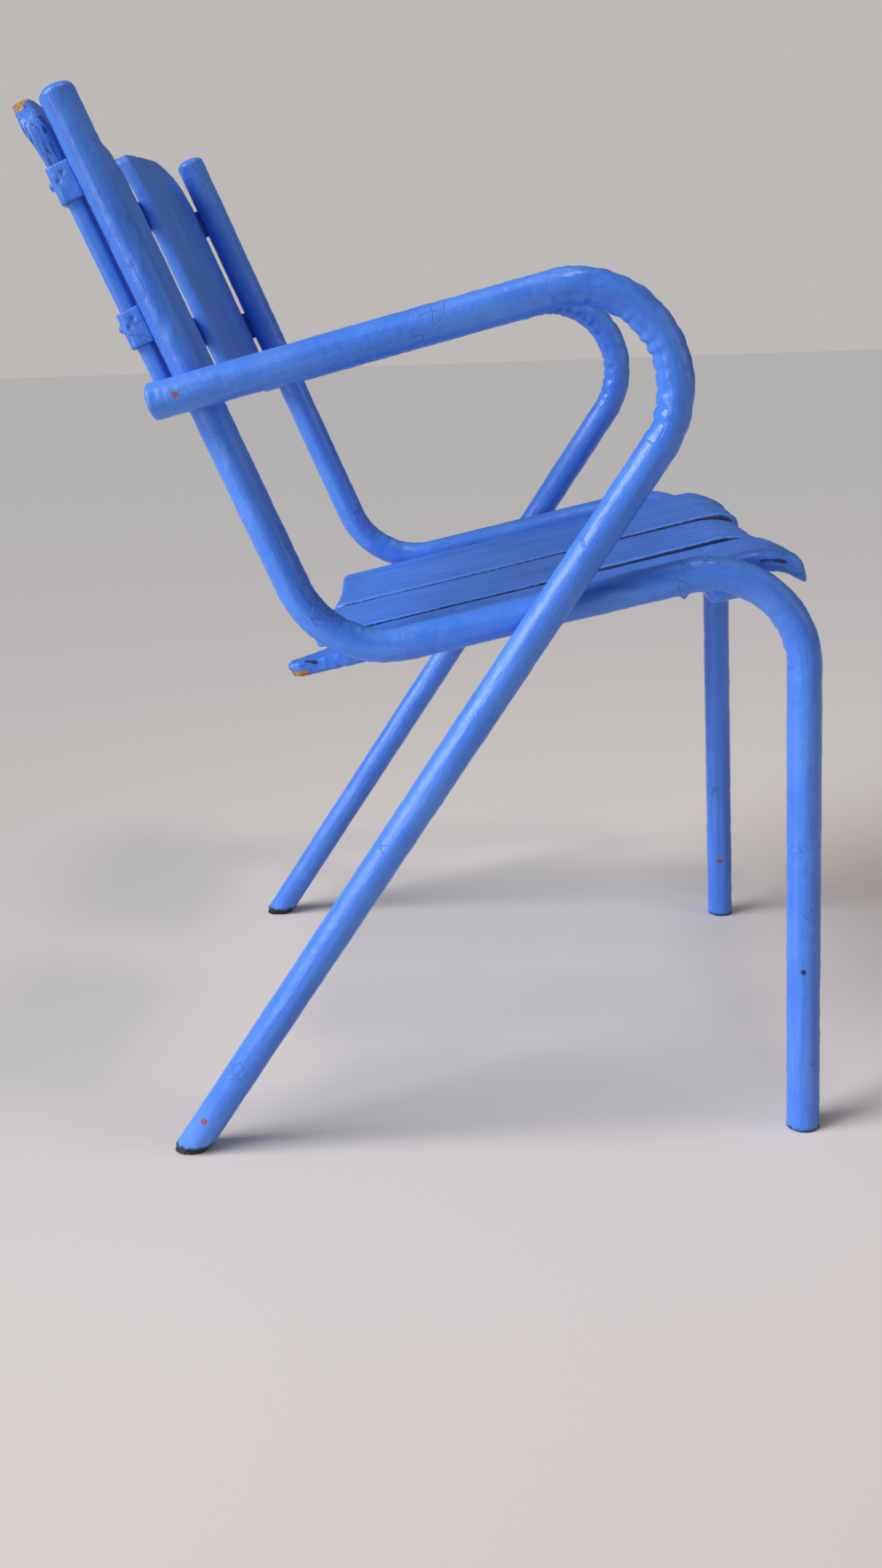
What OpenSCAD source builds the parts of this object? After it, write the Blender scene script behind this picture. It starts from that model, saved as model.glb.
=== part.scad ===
// Tubular steel armchair with wooden slats, weathered and thickly repainted.
// The chair faces -Y, X runs across it and Z is up; the origin is on the floor, under
// the middle of the chair's overall box.
// Two bent tubes a side: one is back post, seat rail and front leg in one length,
// the other is arm and rear leg. Boards are bolted to bars and straps between them.

/* [Side frames] */
// Width of the seat, between the centre lines of the two seat tubes
seat_width = 450; // [350:5:560]
// Outer diameter of every frame tube
tube_d = 25; // [20:1:30]
// Wall of the frame tubes
tube_wall = 1.5; // [1:0.25:2.5]
// Distance of the rear seat corner behind the middle of the chair's box
rear_corner_y = 84; // [60:1:110]
// Height of the rear seat corner
rear_corner_z = 380; // [310:1:460]
// Distance of the front seat corner before the middle of the chair
front_corner_y = 254; // [230:1:300]
// Height of the front seat corner
front_corner_z = 452; // [440:1:540]
// Distance of the front feet before the middle of the chair
front_foot_y = 269; // [240:1:315]
// Bend radius of the seat tubes, on the centre line
seat_bend_r = 71; // [50:1:80]

/* [Back posts] */
// Length of the back posts above the rear seat corner
post_length = 413; // [385:1:500]
// Lean of the back posts from upright
post_lean = 22.4; // [15:0.1:28]

/* [Arms and rear legs] */
// Distance of the rear end of the arms behind the middle of the chair
arm_rear_y = 190; // [175:1:220]
// Height of the rear end of the arms
arm_rear_z = 566; // [500:1:600]
// Distance of the front corner of the arms before the middle of the chair
arm_front_y = 246; // [210:1:290]
// Height of the front corner of the arms
arm_front_z = 668; // [600:1:800]
// Distance of the rear feet behind the middle of the chair
rear_foot_y = 210; // [160:1:260]
// Bend radius of the arm tubes, on the centre line
arm_bend_r = 67.5; // [50:0.5:80]
// Gap between an arm tube and the seat tube that it crosses
crossing_gap = 0.1; // [0.05:0.05:0.3]
// Diameter of the weld around each crossing
weld_d = 17; // [12:1:20]

/* [Tube ends] */
// Height of the dome on the back posts
post_dome = 6; // [3:0.5:9]
// Height of the dome on the arm ends
arm_dome = 4; // [2:0.5:8]
// Length of the spigots of caps and plugs inside the tubes
spigot = 14; // [8:1:25]
// Clearance round a spigot in its tube
spigot_clear = 0.3; // [0.2:0.05:0.5]
// How far the plugs of the rear feet stand out of the tubes
plug_out = 5; // [3:0.5:10]

/* [Seat boards] */
// Thickness of the seat boards
seat_t = 12; // [9:0.5:16]
// Height of the boards' top over the centre line of the seat tubes
seat_rise = 2; // [0:0.5:6]
// Width of the board on the sitter's right
right_board_w = 85; // [60:1:110]
// Width of the middle board; the left one takes what is left
middle_board_w = 130; // [100:1:160]
// Gap between two seat boards
board_gap = 4; // [2:0.5:8]
// Gap between the outer boards and the tubes
side_gap = 1.5; // [1:0.25:5]
// Length of the seat before the rear seat corner, at the middle
seat_reach = 329; // [320:1:345]
// Length of the boards behind the rear seat corner, at the middle
seat_tail = 22; // [0:1:40]
// How far the front edge is hollowed towards the middle
front_hollow = 22; // [5:1:30]
// How far the rear edge is hollowed towards the middle
rear_hollow = 12; // [5:1:25]
// Radius of the rounded-over front of the boards, at the top
nose_r = 70; // [50:1:110]
// Radius of the long edges of all boards
edge_r = 3; // [1.5:0.5:4]
// Radius of the boards' corners
corner_r = 9; // [4:1:15]

/* [Back boards] */
// Thickness of the back boards
back_t = 12; // [9:0.5:16]
// Gap between the two back boards
back_gap = 68; // [40:1:110]
// Gap between the back of the posts and the boards
back_clear = 2.5; // [1:0.5:6]
// Lower end of the back boards, above the rear seat corner along the posts
back_low = 205; // [180:1:225]
// Upper end of the back boards at the inner edge, along the posts
back_high = 412; // [400:1:440]
// How far the top rises from the inner edge to the outer one
back_rise = 17; // [0:1:25]
// Radius of the backward curl at the top of the back boards
curl_r = 130; // [100:5:200]
// Radius of the outer top corners
crown_r = 34; // [15:1:45]

/* [Bars and straps] */
// Width of the flat-oval front bar
bar_w = 30; // [25:1:35]
// Height of the flat-oval front bar
bar_h = 15; // [12:0.5:18]
// Wall of the front bar
bar_wall = 1.5; // [1:0.25:2.5]
// Place of the front bar before the rear seat corner
bar_at = 288; // [270:1:295]
// Width of the flat steel straps
strap_w = 25; // [20:1:30]
// Thickness of the flat steel straps
strap_t = 3; // [2:0.5:4]
// Place of the rear seat strap before the rear seat corner
seat_strap_at = 95; // [80:1:130]
// Place of the lower back strap along the posts
low_strap_at = 262; // [240:1:280]
// Place of the upper back strap along the posts
high_strap_at = 363; // [330:1:370]
// Clearance between a back board's edge and the strap that wraps it
wrap_clear = 0.4; // [0.3:0.1:1]
// Inner radius of the bends of the back straps
wrap_r = 2; // [1:0.5:3]

/* [Bolts] */
// Diameter of the countersunk bolts
bolt_d = 5; // [4:0.5:6]
// Diameter of the bolt heads
head_d = 10; // [8:0.5:12]
// Depth of the bolt heads below the face of the boards
head_sink = 0.8; // [0.2:0.1:1.5]
// Width of the nuts across their corners
nut_d = 9.2; // [8:0.2:12]
// Thickness of the nuts
nut_t = 4; // [3:0.5:5]
// Bare thread past each nut
bolt_tip = 2; // [1:0.5:4]
// Clearance round a bolt in its hole
bolt_clear = 0.3; // [0.2:0.05:0.5]
// Clearance round a bolt in its nut
thread_clear = 0.05; // [0.02:0.01:0.1]
// Distance of the bolts from a board's long edges
bolt_inset = 20; // [15:1:26]
// Distance across the chair between the two bolts that hold a back board to a strap
bolt_step = 19; // [12:1:30]
// Distance along the posts between the same two bolts
bolt_stagger = 9; // [0:1:12]

/* [Hidden] */
$fn = 48;
// A tube draws in this much in its bends
draw_in = 0.1;
bend_overlap = 2;
reach = 2000;

RIGHT = -1;
LEFT = 1;
tube_r = tube_d / 2;
bore_r = tube_r - tube_wall;
spigot_r = bore_r - spigot_clear;
seat_x = seat_width / 2;
arm_x = seat_x + tube_d + crossing_gap;

// Corner points of the bent tubes, as [y, z]
rear_corner = [rear_corner_y, rear_corner_z];
front_corner = [-front_corner_y, front_corner_z];
front_foot = [-front_foot_y, 0];
post_top = rear_corner + post_length * [sin(post_lean), cos(post_lean)];
arm_rear = [arm_rear_y, arm_rear_z];
arm_front = [-arm_front_y, arm_front_z];
rear_foot = [rear_foot_y, 0];
seat_path = [post_top, rear_corner, front_corner, front_foot];
arm_path = [arm_rear, arm_front, rear_foot];

seat_slope = atan2(front_corner_z - rear_corner_z, front_corner_y + rear_corner_y);

// Seat boards, across the chair
seat_edge = seat_x - tube_r - side_gap;
right_board = [-seat_edge, -seat_edge + right_board_w];
middle_board = [right_board[1] + board_gap, right_board[1] + board_gap + middle_board_w];
left_board = [middle_board[1] + board_gap, seat_edge];
seat_under = seat_rise - seat_t;
nose_from = bar_at + bar_w / 2 + 1;

// Back boards, behind the posts
back_front = tube_r + back_clear;
back_rear = back_front + back_t;
back_edge = seat_x;
curl_from = high_strap_at + strap_w / 2 + 2;

// Bolts: where they stand across the seat, and where on a back board as [x, z]
hole_d = bolt_d + 2 * bolt_clear;
head_cone = (head_d - bolt_d) / 2;
seat_bolt_x = [
    for (span = [right_board, middle_board, left_board])
        each [span[0] + bolt_inset, span[1] - bolt_inset]
];
back_bolt_at = [
    for (z = [low_strap_at, high_strap_at])
        each [
            [back_edge - bolt_inset, z + bolt_stagger / 2],
            [back_edge - bolt_inset - bolt_step, z - bolt_stagger / 2]
        ]
];

function dir(a, b) = (b - a) / norm(b - a);
function turn(a, b, c) = acos(dir(a, b) * dir(b, c));
function side(a, b, c) = sign(dir(a, b)[0] * dir(b, c)[1] - dir(a, b)[1] * dir(b, c)[0]);
function left_of(d) = [-d[1], d[0]];
function hollow_r(depth) = (seat_edge * seat_edge + depth * depth) / (2 * depth);
// Point where the lines a-b and c-d cross
function crossing(a, b, c, d) =
    let (u = b - a, v = d - c, w = c - a)
    a + u * (w[0] * v[1] - w[1] * v[0]) / (u[0] * v[1] - u[1] * v[0]);

// Places a shape drawn in the plane of a side frame, x as Y and y as Z
module in_side(x) translate([x, 0, 0]) rotate([90, 0, 90]) children();

// Seat frame: y runs backwards along the seat tubes, z is up from their centre lines
module in_seat() translate([0, rear_corner_y, rear_corner_z]) rotate([-seat_slope, 0, 0]) children();

module on_side(s) mirror([s < 0 ? 1 : 0, 0, 0]) children();

// Back frame: z runs up the posts, y backwards from their centre lines
module in_back() translate([0, rear_corner_y, rear_corner_z]) rotate([-post_lean, 0, 0]) children();

module rod(a, b, r) {
    d = b - a;
    translate([a[0], a[1], 0])
        rotate([0, 0, atan2(d[1], d[0])])
            rotate([0, 90, 0])
                cylinder(h = norm(d), r = r);
}

// A bend is a hair thinner than the rods and runs a little way into both of them
module bend(a, b, c, bend_r, r) {
    t = bend_r * tan(turn(a, b, c) / 2);
    s = side(a, b, c);
    start = b - t * dir(a, b);
    centre = start + s * bend_r * left_of(dir(a, b));
    from = atan2(start[1] - centre[1], start[0] - centre[0]);
    translate([centre[0], centre[1], 0])
        rotate([0, 0, (s > 0 ? from : from - turn(a, b, c)) - bend_overlap])
            rotate_extrude(angle = turn(a, b, c) + 2 * bend_overlap)
                translate([bend_r, 0])
                    circle(r = r - draw_in);
}

// Round bar along a path with rounded corners; its ends run past by extra
module sweep(path, bend_r, r, extra = 0) {
    last = len(path) - 1;
    for (i = [0 : last - 1]) {
        d = dir(path[i], path[i + 1]);
        cut_a = i == 0 ? -extra : bend_r * tan(turn(path[i - 1], path[i], path[i + 1]) / 2);
        cut_b = i == last - 1 ? -extra : bend_r * tan(turn(path[i], path[i + 1], path[i + 2]) / 2);
        rod(path[i] + cut_a * d, path[i + 1] - cut_b * d, r);
    }
    for (i = [1 : last - 1])
        bend(path[i - 1], path[i], path[i + 1], bend_r, r);
}

module below(z) translate([-reach / 2, z - reach, -reach / 2]) cube([reach, reach, reach]);

// Bent tube whose last end is cut level at height foot_z
module bent_tube(path, bend_r, foot_z) {
    difference() {
        sweep(past_floor(path), bend_r, tube_r);
        sweep(past_floor(path), bend_r, bore_r, 1);
        below(foot_z);
    }
}
// The path, with its last point moved on below the floor
function past_floor(path) =
    let (last = len(path) - 1)
    [for (i = [0 : last]) path[i] + (i < last ? 0 : tube_d) * dir(path[last - 1], path[last])];

module seat_tube(s) color("royalblue") in_side(s * seat_x) bent_tube(seat_path, seat_bend_r, 0);
module arm_tube(s) color("royalblue") in_side(s * arm_x) bent_tube(arm_path, arm_bend_r, plug_out);

// Domed plug in the first end of a path
module end_cap(path, dome) {
    d = dir(path[1], path[0]);
    ball_r = (tube_r * tube_r + dome * dome) / (2 * dome);
    translate([path[0][0], path[0][1], 0])
        rotate([0, 0, atan2(d[1], d[0])])
            rotate([0, 90, 0]) {
                translate([0, 0, -spigot]) cylinder(h = spigot, r = spigot_r);
                intersection() {
                    translate([0, 0, dome - ball_r]) sphere(r = ball_r);
                    cylinder(h = dome + 1, r = tube_r);
                }
            }
}

module post_cap(s) color("cornflowerblue") in_side(s * seat_x) end_cap(seat_path, post_dome);
module arm_cap(s) color("cornflowerblue") in_side(s * arm_x) end_cap(arm_path, arm_dome);

// Plug in a rear foot, cut level with the floor
module foot_plug(s) color("dimgray") in_side(s * arm_x) {
    d = dir(arm_front, rear_foot);
    difference() {
        rod(rear_foot - (spigot + 2 * plug_out) * d, rear_foot + tube_d * d, spigot_r);
        below(0);
    }
}

// Fillet welds that join an arm tube to the seat tube, at the rail and at the post
module welds(s) color("slateblue") {
    mid = s * (seat_x + arm_x) / 2;
    at_rail = crossing(rear_corner, front_corner, arm_front, rear_foot);
    at_post = crossing(rear_corner, post_top, arm_rear, arm_front);
    difference() {
        in_side(mid)
            for (p = [at_rail, at_post])
                translate([p[0], p[1], -tube_r / 2])
                    difference() {
                        cylinder(h = tube_r, d = weld_d);
                        translate([0, 0, -1]) cylinder(h = tube_r + 2, d = weld_d / 2);
                    }
        in_side(s * seat_x) sweep(seat_path, seat_bend_r, tube_r);
        in_side(s * arm_x) sweep(arm_path, arm_bend_r, tube_r);
    }
}

// Cross-section of a board w wide and t thick, with rounded long edges
module board_section(w, t) {
    translate([edge_r, 0]) square([w - 2 * edge_r, t]);
    translate([0, edge_r]) square([w, t - 2 * edge_r]);
    for (x = [edge_r, w - edge_r], y = [edge_r, t - edge_r])
        translate([x, y]) circle(r = edge_r);
}

// Takes the square corner off at [x, y]; sx, sy point away from the board
module corner_cut(x, y, sx, sy) {
    translate([x, y])
        mirror([sx < 0 ? 1 : 0, 0])
            mirror([0, sy < 0 ? 1 : 0])
                translate([-corner_r, -corner_r])
                    difference() {
                        square(corner_r + 1);
                        circle(r = corner_r);
                    }
}

// Length of the seat at the distance x from its middle line
function seat_front(x) =
    seat_reach + hollow_r(front_hollow) - sqrt(pow(hollow_r(front_hollow), 2) - x * x);
function seat_back(x) =
    -seat_tail - hollow_r(rear_hollow) + sqrt(pow(hollow_r(rear_hollow), 2) - x * x);

module seat_board(span) color("cornflowerblue") in_seat() {
    w = span[1] - span[0];
    tail = seat_tail + rear_hollow + 1;
    nose_a = asin(min(0.95, (seat_reach + front_hollow + 4 - nose_from) / (nose_r - seat_t)));
    difference() {
        union() {
            translate([span[0], tail, seat_under])
                rotate([90, 0, 0])
                    linear_extrude(height = nose_from + tail)
                        board_section(w, seat_t);
            translate([span[0], -nose_from, seat_rise - nose_r])
                rotate([180, -90, 0])
                    rotate_extrude(angle = nose_a)
                        translate([nose_r - seat_t, 0])
                            board_section(seat_t, w);
        }
        translate([0, 0, -reach / 2]) linear_extrude(height = reach) {
            translate([0, -seat_reach - hollow_r(front_hollow)])
                circle(r = hollow_r(front_hollow), $fn = 720);
            translate([0, seat_tail + hollow_r(rear_hollow)])
                circle(r = hollow_r(rear_hollow), $fn = 720);
            for (i = [0, 1]) {
                corner_cut(span[i], -seat_front(span[i]), 2 * i - 1, -1);
                corner_cut(span[i], -seat_back(span[i]), 2 * i - 1, 1);
            }
        }
        for (x = seat_bolt_x, y = [bar_at, seat_strap_at])
            translate([x, -y, seat_rise]) bolt_hole(seat_t);
    }
}

// Face of a back board on the sitter's left, drawn in x and z: its top rises outwards
module back_outline() {
    inner = back_gap / 2;
    rise = atan2(back_rise, back_edge - inner);
    across = [-sin(rise), cos(rise)];
    low = back_low + corner_r;
    in_at = top_corner(inner + corner_r, corner_r, rise);
    out_at = top_corner(back_edge - crown_r, crown_r, rise);
    polygon([
        [inner, low], [inner + corner_r, back_low],
        [back_edge - corner_r, back_low], [back_edge, low],
        [back_edge, out_at[1]], out_at + crown_r * across,
        in_at + corner_r * across, [inner, in_at[1]]
    ]);
    for (p = [[inner + corner_r, low], [back_edge - corner_r, low], in_at])
        translate(p) circle(r = corner_r);
    translate(out_at) circle(r = crown_r);
}
// Centre of a rounding of radius r at x that touches the sloping top line
function top_corner(x, r, rise) =
    [x, back_high + (x - back_gap / 2) * tan(rise) - r / cos(rise)];

module back_board(s) color("cornflowerblue") in_back() on_side(s) {
    w = back_edge - back_gap / 2;
    curl_a = asin((back_high + back_rise + 4 - curl_from) / (curl_r - back_t));
    difference() {
        intersection() {
            union() {
                translate([back_gap / 2, back_front, back_low - 1])
                    linear_extrude(height = curl_from - back_low + 1)
                        board_section(w, back_t);
                translate([back_edge, back_front + curl_r, curl_from])
                    rotate([90, 0, -90])
                        rotate_extrude(angle = curl_a)
                            translate([curl_r - back_t, 0])
                                board_section(back_t, w);
            }
            translate([0, reach / 2, 0])
                rotate([90, 0, 0])
                    linear_extrude(height = reach)
                        back_outline();
        }
        at_back_bolts(back_front) bolt_hole(back_t);
    }
}

// Places a shape at the bolts of a left back board, turned so that its -z points backwards
module at_back_bolts(y)
    for (p = back_bolt_at)
        translate([p[0], y, p[1]]) rotate([90, 0, 0]) children();

// Countersunk bolt that points down from the top of its head
module bolt(length) {
    translate([0, 0, -head_cone]) cylinder(h = head_cone, d1 = bolt_d, d2 = head_d);
    translate([0, 0, -length]) cylinder(h = length - head_cone / 2, d = bolt_d);
}

// Hole for a bolt in a board of thickness t, down from its face
module bolt_hole(t) {
    translate([0, 0, -head_sink]) {
        translate([0, 0, -head_cone]) cylinder(h = head_cone, d1 = bolt_d, d2 = head_d);
        cylinder(h = head_sink + 1, d = head_d + 2 * bolt_clear);
        translate([0, 0, -t]) cylinder(h = t - head_cone / 2, d = hole_d);
    }
}

// Nut that hangs down from the face it is tightened against
module nut() translate([0, 0, -nut_t]) difference() {
    cylinder(h = nut_t, d = nut_d, $fn = 6);
    translate([0, 0, -1]) cylinder(h = nut_t + 2, d = bolt_d + 2 * thread_clear);
}

module flat_oval(w, h) {
    translate([-(w - h) / 2, -h / 2]) square([w - h, h]);
    for (x = [-1, 1])
        translate([x * (w - h) / 2, 0]) circle(d = h);
}

module both_seat_tubes()
    for (s = [RIGHT, LEFT])
        in_side(s * seat_x) sweep(seat_path, seat_bend_r, tube_r);

module front_seat_bar() color("royalblue") difference() {
    in_seat() difference() {
        translate([-seat_x, -bar_at, seat_under - bar_h / 2])
            rotate([90, 0, 90])
                linear_extrude(height = seat_width)
                    difference() {
                        flat_oval(bar_w, bar_h);
                        flat_oval(bar_w - 2 * bar_wall, bar_h - 2 * bar_wall);
                    }
        for (x = seat_bolt_x)
            translate([x, -bar_at, seat_under - bar_h - 1])
                cylinder(h = bar_h + 2, d = hole_d);
    }
    both_seat_tubes();
}

module rear_seat_strap() color("royalblue") difference() {
    end_x = seat_x - tube_r / 2;
    in_seat() difference() {
        translate([-end_x, -seat_strap_at - strap_w / 2, seat_under - strap_t])
            cube([2 * end_x, strap_w, strap_t]);
        for (x = seat_bolt_x)
            translate([x, -seat_strap_at, seat_under - strap_t - 1])
                cylinder(h = strap_t + 2, d = hole_d);
    }
    both_seat_tubes();
}

// Shape that is w wide to either side of x = 0 and d deep, with rounded corners at the rear
module strap_shape(w, d, r) {
    translate([-w, 0]) square([2 * w, d - r]);
    translate([-w + r, 0]) square([2 * (w - r), d]);
    for (x = [-w + r, w - r])
        translate([x, d - r]) circle(r = r);
}

// Strap behind the back boards that wraps their outer edges and is welded to the posts
module back_strap(at) color("royalblue") in_back() difference() {
    inner_w = back_edge + wrap_clear;
    translate([0, 0, at - strap_w / 2])
        linear_extrude(height = strap_w)
            difference() {
                strap_shape(inner_w + strap_t, back_rear + strap_t, wrap_r + strap_t);
                translate([0, -1]) strap_shape(inner_w, back_rear + 1, wrap_r);
                for (x = [-seat_x, seat_x])
                    translate([x, 0]) circle(r = tube_r);
            }
    for (s = [RIGHT, LEFT])
        on_side(s) at_back_bolts(back_rear + strap_t + 1)
            cylinder(h = strap_t + 2, d = hole_d);
}

module seat_bolts() color("silver") in_seat()
    for (x = seat_bolt_x)
        translate([x, 0, seat_rise - head_sink]) {
            translate([0, -bar_at, 0]) bolt(seat_t - head_sink + bar_h + nut_t + bolt_tip);
            translate([0, -seat_strap_at, 0]) bolt(seat_t - head_sink + strap_t + nut_t + bolt_tip);
        }

module seat_nuts() color("silver") in_seat()
    for (x = seat_bolt_x) {
        translate([x, -bar_at, seat_under - bar_h]) nut();
        translate([x, -seat_strap_at, seat_under - strap_t]) nut();
    }

module back_bolts() color("silver") in_back()
    for (s = [RIGHT, LEFT])
        on_side(s) at_back_bolts(back_front + head_sink)
            bolt(back_t - head_sink + strap_t + nut_t + bolt_tip);

module back_nuts() color("silver") in_back()
    for (s = [RIGHT, LEFT])
        on_side(s) at_back_bolts(back_rear + strap_t) nut();

seat_tube(RIGHT);  // right_seat_tube
seat_tube(LEFT);  // left_seat_tube
arm_tube(RIGHT);  // right_arm_tube
arm_tube(LEFT);  // left_arm_tube
welds(RIGHT);  // right_welds
welds(LEFT);  // left_welds
post_cap(RIGHT);  // right_post_cap
post_cap(LEFT);  // left_post_cap
arm_cap(RIGHT);  // right_arm_cap
arm_cap(LEFT);  // left_arm_cap
foot_plug(RIGHT);  // right_foot_plug
foot_plug(LEFT);  // left_foot_plug
seat_board(right_board);  // right_seat_board
seat_board(middle_board);  // middle_seat_board
seat_board(left_board);  // left_seat_board
back_board(RIGHT);  // right_back_board
back_board(LEFT);  // left_back_board
front_seat_bar();
rear_seat_strap();
back_strap(low_strap_at);  // lower_back_strap
back_strap(high_strap_at);  // upper_back_strap
seat_bolts();
seat_nuts();
back_bolts();
back_nuts();
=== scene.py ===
"""Looks of a tubular steel armchair with wooden boards, brushed blue over and over and now peeling."""

import math
import random

import bpy
import numpy as np
from mathutils import Matrix, Vector


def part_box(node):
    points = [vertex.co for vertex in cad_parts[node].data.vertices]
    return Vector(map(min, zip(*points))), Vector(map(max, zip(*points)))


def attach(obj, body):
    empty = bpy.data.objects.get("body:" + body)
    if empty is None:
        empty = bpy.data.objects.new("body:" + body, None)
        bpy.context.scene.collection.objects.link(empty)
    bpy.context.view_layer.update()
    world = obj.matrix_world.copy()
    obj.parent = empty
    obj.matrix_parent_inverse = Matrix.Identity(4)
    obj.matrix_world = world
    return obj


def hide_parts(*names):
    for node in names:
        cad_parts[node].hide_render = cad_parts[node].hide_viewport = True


MM = 0.001
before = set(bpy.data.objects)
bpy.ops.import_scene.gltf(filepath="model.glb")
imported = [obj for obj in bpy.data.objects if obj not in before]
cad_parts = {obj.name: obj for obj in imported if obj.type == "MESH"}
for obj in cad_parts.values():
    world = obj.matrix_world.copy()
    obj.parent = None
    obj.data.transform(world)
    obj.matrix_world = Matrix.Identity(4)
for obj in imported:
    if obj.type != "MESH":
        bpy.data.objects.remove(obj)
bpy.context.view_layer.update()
random.seed(11)

# Sizes of the frame, the same as in the CAD source, in metres. "Right" and "left" are the sitter's.
TUBE_R = 12.5 * MM
REAR_CORNER = Vector((0, 0.084, 0.380))
FRONT_CORNER = Vector((0, -0.254, 0.452))
FRONT_FOOT = Vector((0, -0.269, 0.0))
LEAN = math.radians(22.4)
POST_LENGTH = 0.413
SEAT_BEND_R = 0.071
ARM_REAR = Vector((0, 0.190, 0.566))
ARM_FRONT = Vector((0, -0.246, 0.668))
REAR_FOOT = Vector((0, 0.210, 0.0))
ARM_BEND_R = 0.0675
SLOPE = math.atan2(0.072, 0.338)
POST_TOP = REAR_CORNER + POST_LENGTH * Vector((0, math.sin(LEAN), math.cos(LEAN)))
SEAT_PATH = [POST_TOP, REAR_CORNER, FRONT_CORNER, FRONT_FOOT]
ARM_PATH = [ARM_REAR, ARM_FRONT, REAR_FOOT]


# ---------------------------------------------------------------- small tools

def deselect():
    if bpy.context.object and bpy.context.object.mode != "OBJECT":
        bpy.ops.object.mode_set(mode="OBJECT")
    bpy.ops.object.select_all(action="DESELECT")


def only(piece):
    deselect()
    piece.select_set(True)
    bpy.context.view_layer.objects.active = piece


def new_piece(name):
    """The primitive just added, named, with its place moved into its mesh."""
    piece = bpy.context.object
    piece.name = piece.data.name = name
    bpy.ops.object.transform_apply(location=True, rotation=True, scale=True)
    return piece


def apply(piece, kind, **settings):
    only(piece)
    modifier = piece.modifiers.new(kind.lower(), kind)
    for key, value in settings.items():
        setattr(modifier, key, value)
    bpy.ops.object.modifier_apply(modifier=modifier.name)


def points(piece):
    co = np.empty(len(piece.data.vertices) * 3)
    piece.data.vertices.foreach_get("co", co)
    return co.reshape(-1, 3)


def tilted(co, angle):
    """Points as x, y back along and z up from the seat rails (SLOPE) or the posts (LEAN)."""
    y, z = co[:, 1] - REAR_CORNER.y, co[:, 2] - REAR_CORNER.z
    c, s = math.cos(angle), math.sin(angle)
    return co[:, 0], y * c - z * s, y * s + z * c


def at(angle, x, y, z):
    """The point at x, y and z of the tilted frame, given in millimetres."""
    c, s = math.cos(angle), math.sin(angle)
    return Vector((x, y * c + z * s, z * c - y * s)) * MM + REAR_CORNER


def weighted(piece, kind, weight, **settings):
    """Applies a modifier only where weight, one number from 0 to 1 for each point, says so."""
    group = piece.vertex_groups.new(name="share")
    for i in np.nonzero(weight > 0.003)[0]:
        group.add([int(i)], float(min(weight[i], 1)), "REPLACE")
    apply(piece, kind, vertex_group="share", **settings)
    piece.vertex_groups.remove(piece.vertex_groups["share"])


def push(piece, height, weight):
    """Moves the surface outwards by height times weight."""
    weighted(piece, "DISPLACE", weight, strength=height, mid_level=0)


def shift(piece, axis, distance, weight):
    """Moves points along the axis X, Y or Z by distance times weight."""
    weighted(piece, "DISPLACE", weight, strength=distance, direction=axis, mid_level=0)


def soften(piece, weight, iterations):
    weighted(piece, "SMOOTH", weight, factor=0.5, iterations=iterations)


def roughen(piece, height, size, contrast=1.0, weight=None):
    """Uneven surface: lumps of about the given size that rise and fall by height."""
    texture = bpy.data.textures.new("lumps", "CLOUDS")
    texture.noise_scale = size
    texture.contrast = contrast
    every = np.ones(len(piece.data.vertices)) if weight is None else weight
    weighted(piece, "DISPLACE", every, strength=height, mid_level=0.5,
             texture=texture, texture_coords="LOCAL")
    bpy.data.textures.remove(texture)


def near(co, centre, radius, stretch=(1, 1, 1)):
    """1 at the centre, falling smoothly to 0 at radius; stretch multiplies the distance along each axis."""
    d = np.linalg.norm((co - np.array(centre)) * np.array(stretch), axis=1) / radius
    return np.clip(1 - d * d, 0, 1) ** 2


def band(values, low, high, soft):
    """1 between low and high, falling to 0 over soft on either side."""
    return np.clip((values - low) / soft + 1, 0, 1) * np.clip((high - values) / soft + 1, 0, 1)


def attribute(piece, name, values, kind="FLOAT"):
    layer = piece.data.attributes.new(name, kind, "POINT")
    field = "value" if kind == "FLOAT" else "vector"
    layer.data.foreach_set(field, np.asarray(values, dtype=np.float32).ravel())


def finish_piece(piece, material, slot, *nodes):
    """Smooth shading, the material, the body it rides on, and the CAD nodes it stands in for."""
    only(piece)
    bpy.ops.object.shade_smooth()
    piece.data.materials.clear()
    piece.data.materials.append(material)
    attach(piece, "root")
    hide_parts(*nodes)


# ---------------------------------------------------------------- materials

def linear(hex_colour):
    """sRGB hex to linear."""
    parts = [int(hex_colour[i:i + 2], 16) / 255 for i in (1, 3, 5)]
    return tuple(p / 12.92 if p <= 0.04045 else ((p + 0.055) / 1.055) ** 2.4 for p in parts) + (1,)


PAINT_BLUE = linear("#427ee4")
PAINT_FADED = linear("#5f97ec")
PAINT_DEEP = linear("#2d62ca")
PRIMER_RED = linear("#a8452e")
# dark colour for dirt, and for painted shade in grooves and painted shadow lines
GRIME_AND_SHADE = linear("#1d2436")
BARE_WOOD = linear("#d9a659")
OLD_WOOD = linear("#7d5a34")
RUBBER_BLACK = linear("#17181c")
RUBBER_SCUFFED = linear("#4a4540")
FLOOR_PALE = linear("#e6dfd7")


def add(material, kind, inputs=None, **settings):
    """Adds a node with its settings; inputs are values or the output sockets that feed them."""
    node = material.node_tree.nodes.new(kind)
    for key, value in settings.items():
        setattr(node, key, value)
    for key, value in (inputs or {}).items():
        if isinstance(value, bpy.types.NodeSocket):
            material.node_tree.links.new(value, node.inputs[key])
        else:
            node.inputs[key].default_value = value
    return node


def new_material(name):
    material = bpy.data.materials.new(name)
    material.use_nodes = True
    material.node_tree.nodes.clear()
    return material


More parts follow.
